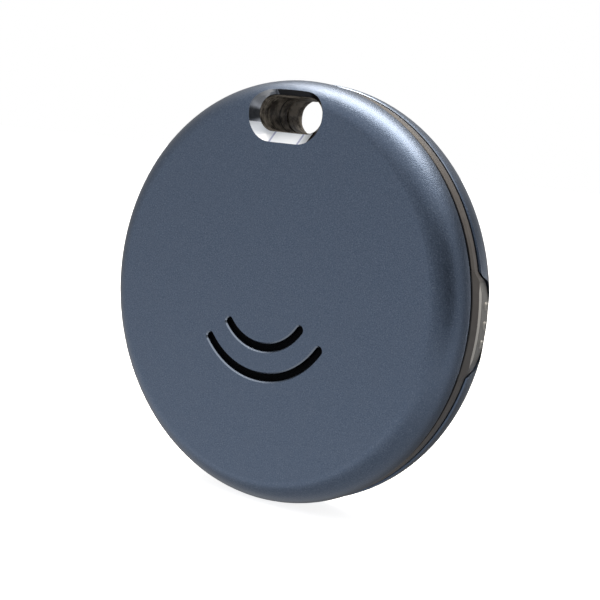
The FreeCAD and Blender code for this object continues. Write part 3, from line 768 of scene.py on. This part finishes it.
def facet_corners(across, edge_y):
    """(radius, y) of the skin's corners at one distance from the button's middle."""
    swell = ease((HALF_FOOT - across) / (HALF_FOOT - CREST_TIP))
    spread = ease((CREST_TIP - across) / (CREST_TIP - CREST_FULL))
    crest = between(BAND_CREST, RADIUS, swell)
    line_y = between(BAND_CREST_Y, CREST_TIP_Y, swell)
    front_y = between(line_y, CREST_FRONT, spread)
    rear_y = between(line_y, CREST_REAR, spread)
    domed = RADIUS - DOME_FALL * max(0.0, edge_y - CREST_REAR)
    edge_radius = between(BAND_EDGE_REAR, domed, swell)
    return [(BAND_EDGE, BAND_FRONT), (crest, front_y), (crest, max(rear_y, front_y)), (edge_radius, edge_y)]


def skin_profile(across, edge_y):
    """The skin from its inner front edge, over the facets, to its inner rear edge."""
    corners = facet_corners(across, edge_y)
    line = [(corners[0][0] - SKIN_DEPTH, corners[0][1])]
    for start, end in zip(corners, corners[1:]):
        for part in FACET_PARTS:
            line.append((between(start[0], end[0], part), between(start[1], end[1], part)))
    line.append(corners[-1])
    line.append((corners[-1][0] - SKIN_DEPTH, corners[-1][1] - SKIN_TUCK))
    return line


def join_rings(mesh, rings):
    """Faces between neighbouring rings of vertices."""
    for low, high in zip(rings, rings[1:]):
        for i in range(len(low)):
            j = (i + 1) % len(low)
            mesh.faces.new((low[i], low[j], high[j], high[i]))


def add_bump(mesh, degrees):
    """One raised dot on the button's rear facet, with a soft foot."""
    angle = math.radians(degrees)
    outwards = Vector((math.cos(angle), 0.0, math.sin(angle)))
    along = Vector((-math.sin(angle), 0.0, math.cos(angle)))
    normal = (outwards + Vector((0.0, DOME_FALL, 0.0))).normalized()
    rearwards = along.cross(normal)
    centre = outwards * (RADIUS - DOME_FALL * (BUMP_Y - CREST_REAR)) + Vector((0.0, BUMP_Y, 0.0))
    rings = []
    for reach, height in BUMP_SHAPE:
        ring = []
        for i in range(BUMP_SIDES):
            turn = 2.0 * math.pi * i / BUMP_SIDES
            flat = along * math.cos(turn) + rearwards * math.sin(turn)
            point = centre + flat * reach * BUMP_RADIUS + normal * height * BUMP_HEIGHT
            ring.append(mesh.verts.new(point * MM))
        rings.append(ring)
    join_rings(mesh, rings)
    mesh.faces.new(rings[-1])


def add_block(mesh, low, high):
    """A box with softened edges between two corners, in millimetres."""
    made = bmesh.ops.create_cube(mesh, size=1.0)["verts"]
    centre = (Vector(low) + Vector(high)) / 2.0
    size = Vector(high) - Vector(low)
    for vert in made:
        vert.co = Vector((vert.co.x * size.x, vert.co.y * size.y, vert.co.z * size.z)) + centre
        vert.co *= MM
    edges = list({edge for vert in made for edge in vert.link_edges})
    bmesh.ops.bevel(mesh, geom=edges, offset=BLOCK_BEVEL * MM, segments=3, affect="EDGES", profile=0.5)


def piece_from(mesh, name, material, body, angle=32.0):
    """Turn a bmesh into an object on a body; edges sharper than the angle, in degrees, stay crisp."""
    bmesh.ops.recalc_face_normals(mesh, faces=mesh.faces)
    data = bpy.data.meshes.new(name)
    mesh.to_mesh(data)
    mesh.free()
    data.shade_smooth()
    data.set_sharp_from_angle(angle=math.radians(angle))
    data.materials.append(material)
    piece = bpy.data.objects.new(name, data)
    bpy.context.scene.collection.objects.link(piece)
    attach(piece, body)
    return piece


def add_button(material):
    """The push button: a faceted skin that grows out of the band, three dots, stem, flange and post."""
    mesh = bmesh.new()
    edge = button_edge()
    columns = [(across, y, 1.0) for across, y in edge]
    columns += [(across, y, -1.0) for across, y in reversed(edge[:-1])]
    rows = []
    for across, edge_y, side in columns:
        row = []
        for radius, y in skin_profile(across, edge_y):
            point = Vector((math.sqrt(radius ** 2 - across ** 2), y, side * across))
            row.append(mesh.verts.new(point * MM))
        rows.append(row)
    join_rings(mesh, rows)
    mesh.faces.new(rows[0])
    mesh.faces.new(rows[-1])
    for i in BUMPS:
        add_bump(mesh, i * BUMP_PITCH)
    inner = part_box("side_button")[0].x / MM
    add_block(mesh, *STEM)
    add_block(mesh, *FLANGE)
    add_block(mesh, (inner, *POST_START), POST_END)
    button = piece_from(mesh, "push_button", material, "button", 26.0)
    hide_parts("side_button")


def board_face(node):
    """(y, direction) of the board face that carries a node."""
    board, thick = middle_of("circuit_board")
    side = 1.0 if middle_of(node)[0].y > board.y else -1.0
    return board.y + side * thick.y, side


def add_fillet(mesh, foot, outwards, along, side):
    """One solder fillet: a wedge from the board up against the side of a component."""
    reach, height, half = SOLDER
    rise = Vector((0.0, side, 0.0))
    ends = []
    for shift in (-half, half):
        start = foot + along * shift
        points = [start + outwards * reach * out + rise * height * up for out, up in FILLET_PROFILE]
        ends.append([mesh.verts.new(point * MM) for point in points])
    join_rings(mesh, ends)
    mesh.faces.new(ends[0])
    mesh.faces.new(ends[1])


def add_solder(material):
    """Solder fillets along the sides of the soldered components."""
    mesh = bmesh.new()
    across = Vector((1.0, 0.0, 0.0))
    up = Vector((0.0, 0.0, 1.0))
    for node, along_x, along_z in SOLDERED:
        middle, half = middle_of(node)
        level, side = board_face(node)
        rows = ((along_x, across, up, half.z, half.x), (along_z, up, across, half.x, half.z))
        for count, along, out, reach, room in rows:
            for i in range(count):
                shift = room * SOLDER_SPREAD * ((i + 0.5) / count - 0.5)
                for way in (-1.0, 1.0):
                    foot = Vector((middle.x, level, middle.z)) + along * shift + out * reach * way
                    add_fillet(mesh, foot, out * way, along, side)
    piece_from(mesh, "solder_fillets", material, "case")


add_camera()
add_light()
add_floor()
dress_case()
dress_inside()
